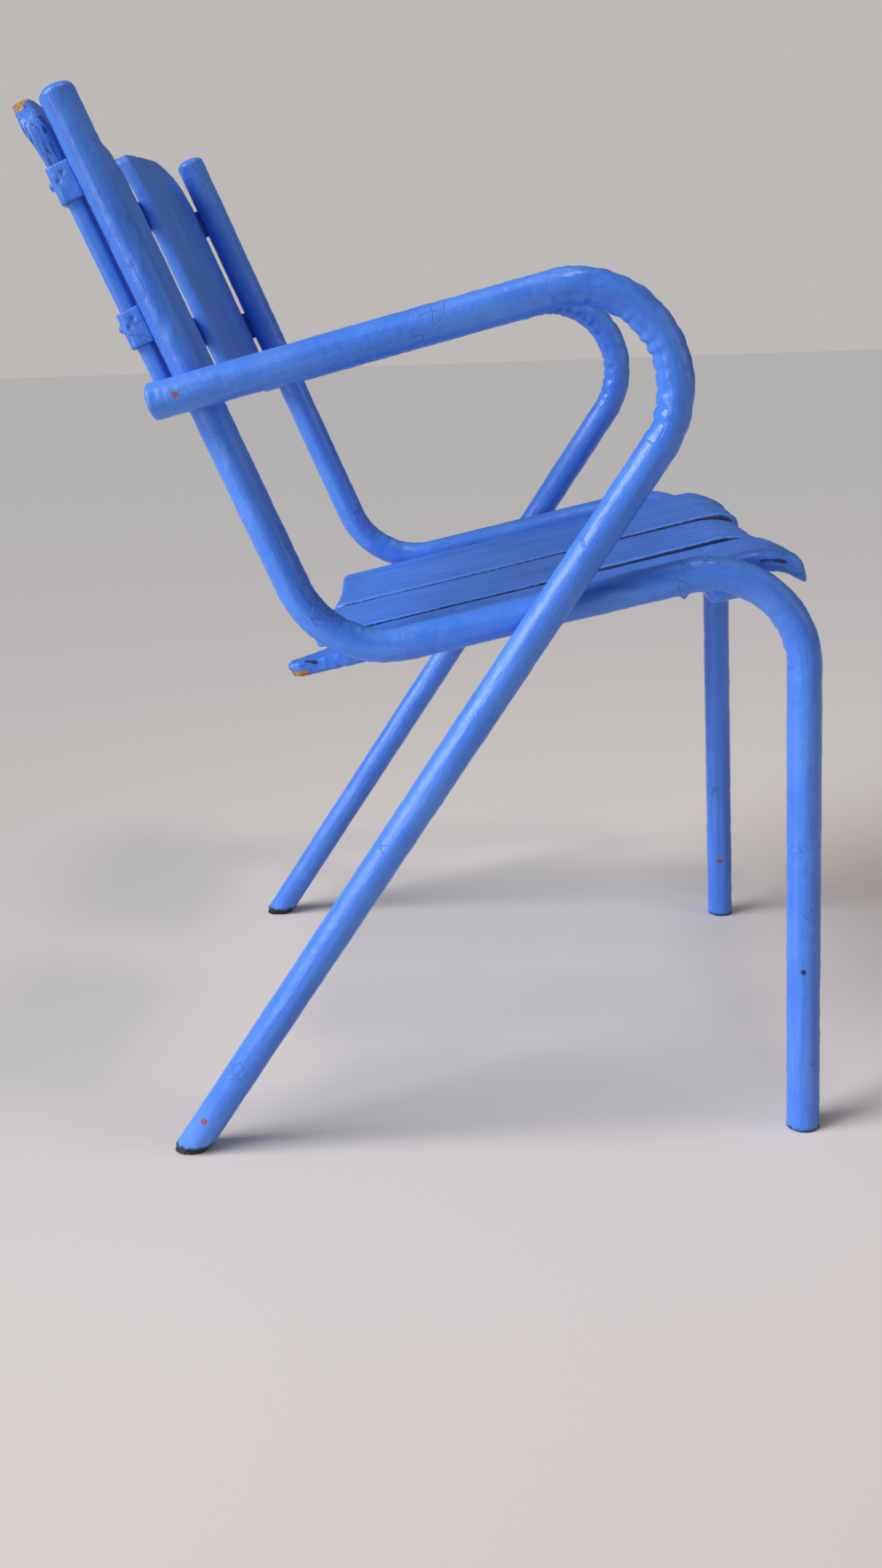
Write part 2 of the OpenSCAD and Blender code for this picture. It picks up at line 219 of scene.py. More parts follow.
def noise(material, vector, size, detail=3.0, rough=0.5):
    """Grey noise whose features are about size metres across."""
    return add(material, "ShaderNodeTexNoise", {
        "Vector": vector, "Scale": 1 / size, "Detail": detail, "Roughness": rough,
    }).outputs["Fac"]


def ramp(material, value, low, high, dark=0.0, light=1.0):
    """Value from low to high drawn out to dark..light, clamped."""
    return add(material, "ShaderNodeMapRange", {
        "Value": value, "From Min": low, "From Max": high, "To Min": dark, "To Max": light,
    }).outputs["Result"]


def mix(material, share, a, b):
    """Colour a turning into colour b as share goes from 0 to 1."""
    return add(material, "ShaderNodeMix", {"Factor": share, 6: a, 7: b}, data_type="RGBA").outputs[2]


def calc(material, operation, a, b=0.0, clamp=False):
    return add(material, "ShaderNodeMath", {0: a, 1: b}, operation=operation, use_clamp=clamp).outputs[0]


def painted(material, value, name):
    """The point attribute of that name, as a number or as a vector."""
    return add(material, "ShaderNodeAttribute", attribute_name=name).outputs[value]


def spots(material, vector, places):
    """Ragged spots: each place is a point and a radius in metres."""
    ragged = calc(material, "MULTIPLY", noise(material, vector, 1.4 * MM, 4, 0.7), 3.2)
    total = 0.0
    for centre, radius in places:
        gap = add(material, "ShaderNodeVectorMath", {0: vector, 1: tuple(centre)}, operation="DISTANCE")
        edge = calc(material, "ADD", calc(material, "DIVIDE", gap.outputs["Value"], radius), ragged)
        total = calc(material, "MAXIMUM", ramp(material, edge, 2.45, 2.32), total)
    return total


def ragged_grime_and_shade(material, place):
    """The dirt-and-shade attribute with a broken edge, so that dirt and painted shade lie in cracks and not
    in soft clouds.
    """
    broken = calc(material, "SUBTRACT", noise(material, place, 3 * MM, 3, 0.65), 0.5)
    dirt_and_shade = calc(material, "ADD", painted(material, "Fac", "grime_and_shade"), calc(material, "MULTIPLY", broken, 1.1))
    return ramp(material, dirt_and_shade, 0.42, 0.72, 0, 0.9)


def surface(material, colour, rough, height, strength, depth):
    """The end of every finish: colour and roughness over a bump of height, depth metres deep."""
    bump = add(material, "ShaderNodeBump", {"Strength": strength, "Distance": depth, "Height": height})
    shader = add(material, "ShaderNodeBsdfPrincipled", {
        "Base Color": colour, "Roughness": rough, "Normal": bump.outputs["Normal"], "IOR": 1.5,
    })
    add(material, "ShaderNodeOutputMaterial", {"Surface": shader.outputs[0]})


def paint_on_steel():
    """Brushed alkyd enamel over red primer on steel tube: thick, satin, streaked along the tube,
    with fine orange peel, hairline cracks and a few chips down to the primer."""
    m = new_material("brushed_enamel_on_steel")
    place = add(m, "ShaderNodeTexCoord").outputs["Object"]
    laid = painted(m, "Vector", "laid")
    strokes_at = add(m, "ShaderNodeMapping", {"Vector": laid, "Scale": (1, 1, 0.06)}).outputs["Vector"]
    strokes = noise(m, strokes_at, 1.6 * MM, 3, 0.55)
    broad = noise(m, strokes_at, 7 * MM, 2)
    clouds = noise(m, place, 60 * MM, 4, 0.6)
    peel = noise(m, place, 2.2 * MM, 2)
    colour = mix(m, ramp(m, clouds, 0.35, 0.7, 0, 0.55), PAINT_BLUE, PAINT_FADED)
    colour = mix(m, ramp(m, broad, 0.45, 0.75, 0, 0.5), colour, PAINT_DEEP)
    # patches of hairline cracks, where the paint has let go
    cells = add(m, "ShaderNodeTexVoronoi", {"Vector": laid, "Scale": 1 / (9 * MM), "Randomness": 1.0},
                feature="DISTANCE_TO_EDGE").outputs["Distance"]
    crazed = ramp(m, noise(m, place, 35 * MM, 2), 0.60, 0.68)
    cracks = calc(m, "MULTIPLY", ramp(m, cells, 0.035, 0.0), crazed)
    grime_and_shade = calc(m, "MAXIMUM", ragged_grime_and_shade(m, place), calc(m, "MULTIPLY", cracks, 0.5))
    colour = mix(m, grime_and_shade, colour, GRIME_AND_SHADE)
    chips = spots(m, place, STEEL_CHIPS)
    colour = mix(m, chips, colour, PRIMER_RED)
    colour = mix(m, spots(m, place, DARK_SPOTS), colour, GRIME_AND_SHADE)
    rough = ramp(m, clouds, 0.3, 0.7, 0.24, 0.42)
    rough = calc(m, "ADD", rough, calc(m, "MULTIPLY", grime_and_shade, 0.35))
    height = calc(m, "ADD", calc(m, "MULTIPLY", strokes, 0.8), calc(m, "MULTIPLY", peel, 0.45))
    height = calc(m, "ADD", height, calc(m, "MULTIPLY", broad, 1.1))
    height = calc(m, "SUBTRACT", height, calc(m, "MULTIPLY", calc(m, "MAXIMUM", cracks, chips), 0.9))
    surface(m, colour, rough, height, 0.8, 0.45 * MM)
    return m


def paint_on_wood(name, angle, along):
    """The same enamel on softwood boards: grain ridges show through the paint along the board,
    cracks open near the ends, and the paint has gone from worn corners down to the wood.
    angle is the board's tilt; along is the axis (1 or 2) that the grain follows in the tilted frame."""
    m = new_material(name)
    place = add(m, "ShaderNodeTexCoord").outputs["Object"]
    turned = add(m, "ShaderNodeMapping", {"Vector": place, "Rotation": (angle, 0, 0)}).outputs["Vector"]
    stretch = [1, 1, 1]
    stretch[along] = 0.05
    grain_at = add(m, "ShaderNodeMapping", {"Vector": turned, "Scale": tuple(stretch)}).outputs["Vector"]
    grain = noise(m, grain_at, 2.6 * MM, 3, 0.6)
    broad = noise(m, grain_at, 11 * MM, 3)
    clouds = noise(m, place, 70 * MM, 4, 0.6)
    peel = noise(m, place, 2.4 * MM, 2)
    colour = mix(m, ramp(m, clouds, 0.35, 0.7, 0, 0.4), PAINT_BLUE, PAINT_FADED)
    colour = mix(m, ramp(m, broad, 0.45, 0.75, 0, 0.5), colour, PAINT_DEEP)
    # cracks that follow the grain, only where the board's ends have weathered
    split = calc(m, "ABSOLUTE", calc(m, "SUBTRACT", noise(m, grain_at, 5.5 * MM, 2), 0.5))
    cracks = calc(m, "MULTIPLY", ramp(m, split, 0.022, 0.006), painted(m, "Fac", "weathered"))
    # bare wood, with a rim of deeper paint round it
    broken = calc(m, "SUBTRACT", noise(m, place, 3 * MM, 4, 0.65), 0.5)
    ragged = calc(m, "ADD", painted(m, "Fac", "bare"), calc(m, "MULTIPLY", broken, 0.9))
    bare = ramp(m, ragged, 0.48, 0.54)
    rim = calc(m, "SUBTRACT", ramp(m, ragged, 0.40, 0.46), bare, clamp=True)
    wood = mix(m, ramp(m, grain, 0.35, 0.65), BARE_WOOD, OLD_WOOD)
    # dirt, cracks, darkened notches, painted shade in the grooves between the boards and a painted shadow
    # line along the right board's front end
    grime_and_shade = calc(m, "MAXIMUM", ragged_grime_and_shade(m, place), cracks)
    colour = mix(m, calc(m, "MULTIPLY", rim, 0.6), colour, PAINT_DEEP)
    colour = mix(m, bare, colour, wood)
    colour = mix(m, grime_and_shade, colour, GRIME_AND_SHADE)
    rough = ramp(m, clouds, 0.3, 0.7, 0.34, 0.52)
    rough = calc(m, "MAXIMUM", rough, calc(m, "MULTIPLY", bare, 0.85))
    height = calc(m, "ADD", grain, calc(m, "MULTIPLY", peel, 0.5))
    height = calc(m, "ADD", height, calc(m, "MULTIPLY", broad, 0.8))
    height = calc(m, "SUBTRACT", height, calc(m, "MAXIMUM", cracks, bare))
    surface(m, colour, rough, height, 0.6, 0.4 * MM)
    return m


def worn_rubber():
    """Old black rubber, scuffed grey and gritty where it has dragged on the ground."""
    m = new_material("perished_rubber")
    place = add(m, "ShaderNodeTexCoord").outputs["Object"]
    scuff = noise(m, place, 4 * MM, 4, 0.7)
    colour = mix(m, ramp(m, scuff, 0.45, 0.7), RUBBER_BLACK, RUBBER_SCUFFED)
    surface(m, colour, 0.85, scuff, 0.8, 0.6 * MM)
    return m


right_x = sum(c.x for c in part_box("right_seat_tube")) / 2
right_arm_x = sum(c.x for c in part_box("right_arm_tube")) / 2

# Chips through to the red primer: right rear leg, end of the right arm, left front leg, left rear leg,
# and the front of the left front leg
STEEL_CHIPS = [
    (Vector((right_arm_x - TUBE_R, 0.196, 0.030)), 3.2 * MM),
    (Vector((right_arm_x - TUBE_R, 0.172, 0.571)), 2.4 * MM),
    (Vector((-right_x - TUBE_R, -0.266, 0.062)), 3.2 * MM),
    (Vector((-right_arm_x + TUBE_R, 0.186, 0.040)), 4 * MM),
    (Vector((-right_x, -0.281, 0.120)), 3 * MM),
]
DARK_SPOTS = [(Vector((right_x - TUBE_R, -0.262, 0.135)), 2.4 * MM)]

steel_paint = paint_on_steel()
seat_paint = paint_on_wood("brushed_enamel_on_seat_boards", SLOPE, 1)
back_paint = paint_on_wood("brushed_enamel_on_back_boards", LEAN, 2)
rubber = worn_rubber()


# ---------------------------------------------------------------- bent tubes

AROUND = 48                 # points round a tube
RING = 2.2 * MM             # distance from ring to ring
MOST_CUTS = 100             # that one subdivide makes
PAST_FOOT = 30 * MM         # how far a leg is drawn below the floor before it is cut level
DOME_STEPS = 7              # rings in the dome that closes a tube
DOME_TIP = 0.03             # size of its last ring, as a share of the tube's
SLACK = 10 * MM             # how far past its ends a straight still claims points
FADE = 0.25                 # angle over which a bend's folds die out


def long_edges(piece, way, length):
    """Selects only the edges that run along way and are at least that long."""
    bpy.ops.object.mode_set(mode="OBJECT")
    for edge in piece.data.edges:
        a, b = (piece.data.vertices[i].co for i in edge.vertices)
        edge.select = (b - a).length > length * 0.99 and abs((b - a).normalized().dot(way)) > 0.999
    for face in piece.data.polygons:
        face.select = False
    bpy.ops.object.mode_set(mode="EDIT")


def cut_into_rings(piece, way, length):
    """Cuts the long edges of a straight until its rings lie about RING apart."""
    cuts = round(length / RING)
    bpy.ops.mesh.select_mode(type="EDGE")
    bpy.ops.mesh.select_all(action="DESELECT")
    long_edges(piece, way, length)
    bpy.ops.mesh.subdivide(number_cuts=min(cuts, MOST_CUTS))
    if cuts > MOST_CUTS:
        bpy.ops.mesh.select_all(action="DESELECT")
        long_edges(piece, way, length / (MOST_CUTS + 1))
        bpy.ops.mesh.subdivide(number_cuts=1)


def dome_end(piece, start, way, rise):
    """Closes the open ring round start with a dome that stands out by rise along way."""
    bpy.ops.mesh.select_all(action="DESELECT")
    bpy.ops.object.mode_set(mode="OBJECT")
    for v in piece.data.vertices:
        v.select = abs((v.co - start).dot(way)) < 1e-5 and (v.co - start).length < TUBE_R * 1.01
    bpy.ops.object.mode_set(mode="EDIT")
    bpy.ops.mesh.select_mode(type="VERT")
    share = 1.0
    for k in range(1, DOME_STEPS + 1):
        angle = math.pi / 2 * k / DOME_STEPS
        climb = rise * (math.sin(angle) - math.sin(angle - math.pi / 2 / DOME_STEPS))
        now = max(math.cos(angle), DOME_TIP)
        bpy.ops.mesh.extrude_region_move(TRANSFORM_OT_translate={"value": way * climb})
        middle = start + way * rise * math.sin(angle)
        bpy.ops.transform.resize(value=(now / share,) * 3, center_override=middle)
        share = now
    bpy.ops.mesh.merge(type="CENTER")


def tube(name, x, path, bend_r, dome):
    """A closed tube swept along the path by extrude and spin, its first end domed and its last cut level."""
    way = (path[1] - path[0]).normalized()
    deselect()
    bpy.ops.mesh.primitive_circle_add(vertices=AROUND, radius=TUBE_R, location=path[0] + Vector((x, 0, 0)),
                                      rotation=(math.atan2(-way.y, way.z), 0, 0))
    piece = new_piece(name)
    bpy.ops.object.mode_set(mode="EDIT")
    bpy.ops.mesh.select_mode(type="EDGE")
    bpy.ops.mesh.select_all(action="SELECT")
    here, straights = path[0].copy(), []
    for i in range(1, len(path)):
        way = (path[i] - path[i - 1]).normalized()
        if i == len(path) - 1:
            stop = path[i] + way * PAST_FOOT
        else:
            after = (path[i + 1] - path[i]).normalized()
            turn = way.angle(after)
            stop = path[i] - way * bend_r * math.tan(turn / 2)
        step = stop - here
        bpy.ops.mesh.extrude_region_move(TRANSFORM_OT_translate={"value": step})
        straights.append((way, step.length))
        if i < len(path) - 1:
            side = Vector((1 if way.cross(after).x > 0 else -1, 0, 0))
            centre = stop + Vector((x, 0, 0)) + side.cross(way) * bend_r
            bpy.ops.mesh.spin(steps=round(turn * bend_r / RING), angle=-turn, center=centre, axis=side)
            here = path[i] + after * bend_r * math.tan(turn / 2)
    for way, length in straights:
        cut_into_rings(piece, way, length)
    bpy.ops.mesh.select_all(action="SELECT")
    foot_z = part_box(name.replace("painted_", ""))[0].z
    bpy.ops.mesh.bisect(plane_co=(0, 0, foot_z), plane_no=(0, 0, 1), clear_inner=True, use_fill=True)
    dome_end(piece, path[0] + Vector((x, 0, 0)), (path[0] - path[1]).normalized(), dome)
    bpy.ops.mesh.select_all(action="SELECT")
    bpy.ops.mesh.normals_make_consistent(inside=False)
    bpy.ops.object.mode_set(mode="OBJECT")
    return piece


def flat(vector):
    """The y and z of a vector."""
    return np.array((vector.y, vector.z))


def unrolled(co, x, path, bend_r):
    """Each point as it would lie on the tube laid out straight: across, outwards and along. Also how far
    it faces the centre of its bend: 1 on the inner side, -1 on the outer side, 0 on the straights."""
    laid = np.zeros((len(co), 3))
    inner = np.zeros(len(co))
    nearest = np.full(len(co), np.inf)
    run = 0.0
    yz = co[:, 1:]
    for i in range(1, len(path)):
        a, b = flat(path[i - 1]), flat(path[i])
        length = np.linalg.norm(b - a)
        way = (b - a) / length
        along = (yz - a) @ way
        off = (yz - a) @ np.array((-way[1], way[0]))
        past_end = (along > length + SLACK) & (i < len(path) - 1)
        distance = np.abs(off) + np.where((along < -SLACK) | past_end, 1, 0)
        take = distance < nearest
        nearest = np.where(take, distance, nearest)
        laid[take] = np.stack([co[:, 0] - x, off, run + along], 1)[take]
        run += length
    for i in range(1, len(path) - 1):
        before = flat((path[i] - path[i - 1]).normalized())
        after = flat((path[i + 1] - path[i]).normalized())
        half = math.acos(float(before @ after)) / 2
        out = (before - after) / np.linalg.norm(before - after)
        away = yz - (flat(path[i]) - out * bend_r / math.cos(half))
        distance = np.linalg.norm(away, axis=1)
        turn = np.arccos(np.clip(away @ out / distance, -1, 1))
        in_bend = turn < half
        facing = np.clip((bend_r - distance) / TUBE_R, -1, 1) * np.clip((half - turn) / FADE, 0, 1)
        inner = np.where(in_bend, facing, inner)
        turned = np.sign(away @ np.array((-out[1], out[0]))) * turn * bend_r
        corner_run = sum((path[k] - path[k - 1]).length for k in range(1, i + 1))
        laid[in_bend] = np.stack([co[:, 0] - x, distance - bend_r, corner_run + turned], 1)[in_bend]
    return laid, inner


def weather_tube(piece, x, path, bend_r, folds, lumps):
    """Compression folds inside the bends, uneven brushed paint and a few runs.
    folds is how deep they are and how far apart, in millimetres."""
    laid, inner = unrolled(points(piece), x, path, bend_r)
    depth, spacing = folds
    folded, run = np.zeros(len(laid)), 0.0
    while run < laid[:, 2].max():
        run += random.uniform(0.65, 1.5) * spacing * MM
        width = random.uniform(0.2, 0.32) * spacing * MM
        folded += random.uniform(0.25, 1) * np.exp(-((laid[:, 2] + 2 * inner * MM - run) / width) ** 2)
    push(piece, -depth * MM, np.clip(folded, 0, 1) * np.clip(inner * 1.3, 0, 1))
    crinkled = np.clip(np.abs(inner) * 3, 0, 0.9) * min(depth, 1)
    roughen(piece, 1.5 * MM, 8 * MM, contrast=1.5, weight=crinkled)
    roughen(piece, 0.7 * MM, 20 * MM)
    roughen(piece, 0.42 * MM, 4.5 * MM, contrast=1.7)
    co = points(piece)
    for centre, radius, height, stretch in lumps:
        push(piece, height, near(co, centre, radius, stretch))
    laid, _ = unrolled(points(piece), x, path, bend_r)
    attribute(piece, "laid", laid, "FLOAT_VECTOR")


def lump(centre, radius, height, stretch=(1, 1, 1)):
    """A raised place, or a sunk one if height is negative; radius and height in millimetres."""
    return centre, radius * MM, height * MM, stretch


def scattered_runs(x, path, count):
    """Small sags and drips that hang on the lower side of the tube."""
    runs = []
    for _ in range(count):
        i = random.randrange(1, len(path))
        place = path[i - 1].lerp(path[i], random.uniform(0.1, 0.9)) + Vector((x, 0, 0))
        place += Vector((random.uniform(-1, 1), random.uniform(-1, 1), -1)).normalized() * TUBE_R
        runs.append(lump(place, random.uniform(3, 7), random.uniform(0.3, 0.8), (1, 1, 0.6)))
    return runs


def copy_across(piece, name, distance):
    """A second tube with its own mesh, moved sideways by distance."""
    twin = bpy.data.objects.new(name, piece.data.copy())
    bpy.context.collection.objects.link(twin)
    twin.data.name = name
    twin.location.x = distance
    only(twin)
    bpy.ops.object.transform_apply(location=True, rotation=False, scale=False)
    return twin


def on_rail(x, before, up):
    """A point x metres to the side, before the rear corner and up from the rails' middle in millimetres."""
    return at(SLOPE, x / MM, -before, up)


right_seat = tube("painted_right_seat_tube", right_x, SEAT_PATH, SEAT_BEND_R, 6 * MM)
right_arm = tube("painted_right_arm_tube", right_arm_x, ARM_PATH, ARM_BEND_R, 4 * MM)
left_seat = copy_across(right_seat, "painted_left_seat_tube", -2 * right_x)
left_arm = copy_across(right_arm, "painted_left_arm_tube", -2 * right_arm_x)

outer_x = right_x - TUBE_R          # outer side of the right rail; -outer_x is that of the left one
arm_outer_x = right_arm_x - TUBE_R
right_rail_lumps = [
    # a ridge of paint and runs before the front bend, the drip that hangs there, and runs on the post
    lump(on_rail(outer_x, 215, 3), 9, 1.4, (1, 0.45, 1.6)),
    lump(on_rail(outer_x, 232, 8), 8, 1.1, (1, 0.5, 1.4)),
    lump(on_rail(outer_x, 250, -2), 7, 1.0, (1, 0.6, 1.2)),
    lump(on_rail(right_x - 3 * MM, 257, -12.5), 3.5, 3.2),
    lump(on_rail(outer_x + 4 * MM, 283, 9), 6, 0.8),
    lump(at(LEAN, outer_x / MM, -6, 300), 6, 0.8, (1, 1, 0.5)),
    lump(at(LEAN, outer_x / MM, -4, 250), 5, 0.7, (1, 1, 0.5)),
]
left_rail_flakes = [
    lump(on_rail(-outer_x, 94, 6), 9, 1.2, (1, 0.7, 1.6)),
    lump(on_rail(-outer_x, 105, 7), 5, 1.4),
]
arm_end_dents = [
    lump(Vector((arm_outer_x, 0.186, 0.571)), 4, -0.8),
    lump(Vector((arm_outer_x, 0.178, 0.563)), 3, -0.7),
    lump(Vector((arm_outer_x + 2 * MM, 0.192, 0.576)), 3, -0.6),
]
for piece, x, path, bend_r, folds, lumps, run_count in (
    (right_seat, right_x, SEAT_PATH, SEAT_BEND_R, (0.5, 9), right_rail_lumps, 14),
    (left_seat, -right_x, SEAT_PATH, SEAT_BEND_R, (0.4, 9), left_rail_flakes, 14),
    (right_arm, right_arm_x, ARM_PATH, ARM_BEND_R, (1.8, 10.5), arm_end_dents, 12),
    (left_arm, -right_arm_x, ARM_PATH, ARM_BEND_R, (1.3, 7.8), [], 12),
):
    weather_tube(piece, x, path, bend_r, folds, lumps + scattered_runs(x, path, run_count))

for piece, side in ((right_seat, "right"), (left_seat, "left")):
    # dirt round the foot, and darkening in the torn paint where the left rail meets its board
    co = points(piece)
    foot = band(co[:, 2], -1, 1.5 * MM, 3 * MM)
    torn = near(co, on_rail(-outer_x, 91, 4), 6 * MM, (1, 0.3, 1.5))
    attribute(piece, "grime_and_shade", np.clip(0.7 * foot + 1.2 * torn, 0, 1))
    finish_piece(piece, steel_paint, "painted_steel", side + "_seat_tube", side + "_post_cap")
for piece, side in ((right_arm, "right"), (left_arm, "left")):
    attribute(piece, "grime_and_shade", 0.8 * band(points(piece)[:, 2], -1, 6 * MM, 4 * MM))
    finish_piece(piece, steel_paint, "painted_steel", side + "_arm_tube", side + "_arm_cap")


# ---------------------------------------------------------------- copies of CAD shapes under thick paint

BOARD_VOXEL = 1.6 * MM
EDGE = 5 * MM               # width of a board's rounded edge


def thick_copy(name, nodes):
    """A copy of CAD nodes as one piece with its loose triangles merged."""
    deselect()
    for node in nodes:
        part = bpy.data.objects.new(node + "_copy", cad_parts[node].data.copy())
        bpy.context.collection.objects.link(part)
        part.select_set(True)
        bpy.context.view_layer.objects.active = part
    if len(nodes) > 1:
        bpy.ops.object.join()
    piece = bpy.context.object
    piece.name = piece.data.name = name
    bpy.ops.object.mode_set(mode="EDIT")
    bpy.ops.mesh.select_all(action="SELECT")
    bpy.ops.mesh.remove_doubles(threshold=1e-6)
    bpy.ops.object.mode_set(mode="OBJECT")
    return piece


def skin(piece, voxel, smooth=2):
    """One even mesh over the whole piece, its edges rounded as thick paint rounds them."""
    apply(piece, "REMESH", mode="VOXEL", voxel_size=voxel, use_smooth_shade=True)
    apply(piece, "SMOOTH", factor=0.5, iterations=smooth)


def cut(piece, centre, radius, stretch, rough=0.5):
    """Breaks a ragged piece out of an edge; rough is how ragged, as a share of radius."""
    deselect()
    bpy.ops.mesh.primitive_ico_sphere_add(subdivisions=3, radius=radius, location=centre)
    tool = bpy.context.object
    tool.scale = stretch
    bpy.ops.object.transform_apply(location=True, rotation=True, scale=True)
    roughen(tool, radius * rough, radius * 0.6)
    apply(piece, "BOOLEAN", operation="DIFFERENCE", object=tool, solver="EXACT")
    bpy.data.objects.remove(tool)


def blotches(co, places):
    """1 inside the given places, each a point and a radius in metres, and 0 away from them."""
    return np.clip(sum((near(co, centre, radius) for centre, radius in places), np.zeros(len(co))), 0, 1)


def weather_board(piece, ends, cracked, bare, dark=(), groove_shade=0):
    """ends is how weathered each point is and cracked how far its paint has split; bare and dark are
    the places of bare wood and of dark marks: cracks, painted shadow lines and darkened notches; the last
    argument is how much painted shade lies in each point's groove."""
    roughen(piece, 0.5 * MM, 30 * MM)
    roughen(piece, 0.35 * MM, 6 * MM, contrast=1.4)
    roughen(piece, 1.3 * MM, 9 * MM, weight=ends)
    co = points(piece)
    attribute(piece, "weathered", cracked)
    attribute(piece, "bare", blotches(co, bare))
    # this attribute takes the dark places and the painted shade in the grooves between the boards
    attribute(piece, "grime_and_shade", np.clip(0.85 * groove_shade + blotches(co, dark), 0, 1))


def nose_fall(before):
    """How far a seat board's front has curved down, in millimetres, so far before the rear corner."""
    return (before - 304) ** 2 / 140


def wear_seat_corners(side, board, x0, x1):
    """Breaks worn corners off a seat board from x0 to x1 millimetres; gives its bare places and its dark
    places, which are cracks, a darkened notch and a painted shadow line.
    """
    if side == "right":
        corner = at(SLOPE, x0 + 3, 33, -9)
        cut(board, corner, 7 * MM, (0.8, 1, 0.7))
        # the inner part of its rear end is broken off along the grain
        cut(board, at(SLOPE, x1 + 2, 40, -3), 30 * MM, (2.45, 1.7, 1.2), 0.08)
        bare = [(corner, 13 * MM), (at(SLOPE, x0, 22, -8), 7 * MM), (at(SLOPE, x0 + 2, -350, -24), 6 * MM)]
        # a crack across its rear corner, and a painted shadow line along the side of its front end, where
        # the gap beneath the board lies in shade
        dark = [(at(SLOPE, x0, 19 - s, 1.5 - s / 3), 3 * MM) for s in (0, 2.5, 5, 7.5)]
        dark += [(at(SLOPE, x0, -s, -3 - nose_fall(s)), 2.6 * MM) for s in range(316, 345, 2)]
        return bare, dark
    if side == "middle":
        cut(board, at(SLOPE, x0 - 2, 26, -3), 15 * MM, (1.2, 1.4, 1.5), 0.08)
        return [(at(SLOPE, x0 + 30, 23, -10), 8 * MM)], []
    # darkened in the notch in its outer edge, where the paint of the rail has torn
    cut(board, at(SLOPE, x1 + 1, -92, 2), 5 * MM, (0.8, 1.6, 0.8))
    dark = [(at(SLOPE, x1 - inwards, -before, 1), radius * MM)
            for before, inwards, radius in ((83, 3, 7), (90, 4, 9), (97, 6, 8), (104, 2, 6))]
    return [(at(SLOPE, x1 - 1, 28, -8), 9 * MM)], dark


def round_front_corners(side, board, x0, x1, front):
    """Rubs the front corners round; the right corners of the middle and left boards stay sharper."""
    co = points(board)
    for x in (x0, x1):
        reach = 24 if side == "right" or x == x1 else 13
        soften(board, np.clip(2.5 * near(co, at(SLOPE, x, -front + 4, -16), reach * MM), 0, 1), 70)


def warp_seat_board(side, board, low_x, front, x, y):
    """Bends a board as damp has; low_x is its right edge and front its length, in metres."""
    if side == "right":  # its front end stands up a little and lies further back
        shift(board, "Z", 2 * MM, band(-y, 0.352, 1, 0.030) * band(x, -1, -0.18, 0.05))
        shift(board, "Y", 5 * MM, band(-y, 0.352, 1, 0.020))
        return
    # cupped: its right edge curls up, most at the front, and its front end has sunk
    shift(board, "Z", 2.8 * MM, band(x, -1, low_x + 2 * MM, 0.025) * (0.45 + 0.55 * band(-y, 0.3, 1, 0.16)))
    shift(board, "Z", -5 * MM, band(-y, front, 1, 0.030))
    if side == "left":  # the right part of its front end lies further forward
        shift(board, "Y", -6 * MM, band(-y, 0.332, 1, 0.030) * band(x, -1, low_x + 0.06, 0.08))


for side, front in (("right", 350), ("middle", 333), ("left", 345)):
    node = side + "_seat_board"
    board = thick_copy("painted_" + node, [node])
    low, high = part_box(node)
    bare, dark = wear_seat_corners(side, board, low.x / MM, high.x / MM)
    skin(board, BOARD_VOXEL, 7)
    round_front_corners(side, board, low.x / MM, high.x / MM, front)
    x, y, z = tilted(points(board), SLOPE)
    ends = np.clip(band(-y, 0.318, 1, 0.02) + band(y, 0.012, 1, 0.02), 0, 1)
    push(board, 1.3 * MM, band(-y, 0.325, 1, 0.02))
    warp_seat_board(side, board, low.x, front * MM, x, y)
    edge = np.clip(1 - np.minimum(np.abs(x - low.x), np.abs(x - high.x)) / EDGE, 0, 1)
    # painted shade low in the grooves between the boards, where each board shades the next; the middle
    # board's groove is left unshaded where it shows at the rear
    inside = band(np.abs(x), -1, 0.200, 0.002)
    fallen = np.clip(-y - 0.304, 0, 1) ** 2 / 0.14
    shade_top = (1.6 if side == "right" else 0.8) * MM
    groove_shade = inside * band(z + fallen, -1, shade_top, 0.8 * MM) * band(edge, 0.52, 2, 0.2)
    groove_shade *= band(-y, 0.012 if side == "middle" else -0.06, 0.36, 0.01)
    # edges rounded by wear, more towards the front
    push(board, -3.2 * MM, edge ** 1.5 * np.clip((-y - 0.318) / 0.022, 0, 1) ** 1.5)
    push(board, -1.5 * MM, edge ** 1.5 * inside)
    roughen(board, 1.3 * MM, 5 * MM, contrast=1.5, weight=edge * 0.8)
    weather_board(board, ends, 0.3 * ends, bare, dark, groove_shade)
    finish_piece(board, seat_paint, "painted_wood", node)

for side in ("right", "left"):
    node = side + "_back_board"
    board = thick_copy("painted_" + node, [node])
    skin(board, BOARD_VOXEL, 5)
    z = tilted(points(board), LEAN)[2]
    ends = np.clip(band(z, 0.385, 1, 0.03) + 0.6 * band(z, -1, 0.208, 0.01), 0, 1)
    if side == "right":
        # swollen at its top corner, where the wood is bare
        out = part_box(node)[0].x / MM
        push(board, 2.4 * MM, near(points(board), at(LEAN, out, 30, 398), 34 * MM))
        bare = [(at(LEAN, out + 26, 27, 430), 19 * MM), (at(LEAN, out + 12, 31, 420), 10 * MM)]
    else:
        # a bolt that was filled and painted over, sunk a little below the face
        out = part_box(node)[1].x / MM
        push(board, -2.4 * MM, np.clip(2 * near(points(board), at(LEAN, 152, 15, 366), 7 * MM), 0, 1))
        bare = [(at(LEAN, out - 60, 31, 424), 6 * MM)]
    weather_board(board, ends, (0.8 if side == "right" else 0.2) * ends, bare)
    finish_piece(board, back_paint, "painted_wood", node)


def finish_strap(piece, node):
    """Clean paint, brushed along the strap."""
    attribute(piece, "laid", points(piece)[:, [1, 2, 0]], "FLOAT_VECTOR")
    attribute(piece, "grime_and_shade", np.zeros(len(piece.data.vertices)))
    finish_piece(piece, steel_paint, "painted_steel", node)


